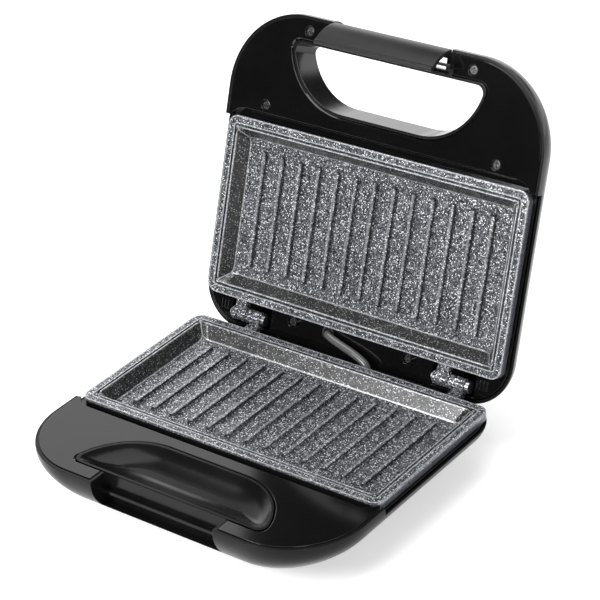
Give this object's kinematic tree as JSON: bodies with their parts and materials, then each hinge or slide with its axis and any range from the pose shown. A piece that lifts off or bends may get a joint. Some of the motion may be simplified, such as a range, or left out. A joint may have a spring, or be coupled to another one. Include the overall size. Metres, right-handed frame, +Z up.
{
  "type": "panini press",
  "caption": "Black two-plate panini press standing open, with ribbed granite-coated plates, a carrying-handle opening in its lid and a latch along the handle's edge.",
  "frame": {"origin": "centre of the open press's outline, at the level of its feet", "axes": "+X to the press's right, +Y from the handle towards the hinge, +Z up from the table"},
  "size_m": [0.2314, 0.269, 0.223],
  "materials": {
    "housing": "gloss",
    "latch_plastic": "satin",
    "coated_plate": "granite-effect non-stick coating",
    "steel": "satin",
    "screw_steel": "satin",
    "thermostat_body": "matte",
    "terminal_plastic": "matte",
    "wire_sleeve": "satin",
    "rubber": "matte",
    "red_lens": "gloss",
    "green_lens": "gloss"
  },
  "bodies": {
    "base": {"base_shell": "housing", "base_deck": "housing", "lower_plate": "coated_plate", "lower_element": "steel", "lower_reflector": "steel", "lower_straps": "steel", "lower_strap_screws": "screw_steel", "lower_thermostat": "thermostat_body", "thermal_fuse": "steel", "terminal_block": "terminal_plastic", "lower_wires": "wire_sleeve", "cord_gland": "rubber", "foot_front_left": "rubber", "foot_front_right": "rubber", "foot_rear_left": "rubber", "foot_rear_right": "rubber", "base_screws": "screw_steel", "base_rear_screws": "screw_steel", "hinge_pin_left": "steel", "hinge_pin_right": "steel", "hinge_clips": "steel", "link_lead": "wire_sleeve"},
    "lid": {"lid_cover": "housing", "lid_panel": "housing", "upper_plate": "coated_plate", "upper_element": "steel", "upper_reflector": "steel", "upper_straps": "steel", "upper_strap_screws": "screw_steel", "upper_thermostat": "thermostat_body", "upper_wires": "wire_sleeve", "lid_panel_screws": "screw_steel", "lid_rear_screws": "screw_steel", "power_lens": "red_lens", "ready_lens": "green_lens", "lamp_holder": "terminal_plastic", "lead_grommet": "rubber", "latch_rod": "steel", "latch_spring": "steel"},
    "latch": {"latch": "latch_plastic"}
  },
  "joints": [
    {"name": "lid_hinge", "type": "hinge", "parent": "base", "child": "lid", "pos_m": [0, 0.05534, 0.039], "axis": [1, 0, 0], "range_deg": [0, 110], "deforming": ["link_lead"]},
    {"name": "latch_pivot", "type": "hinge", "parent": "lid", "child": "latch", "pos_m": [0, 0.12334, 0.20974], "axis": [-1, 0, 0], "range_deg": [-8, 20]}
  ]
}
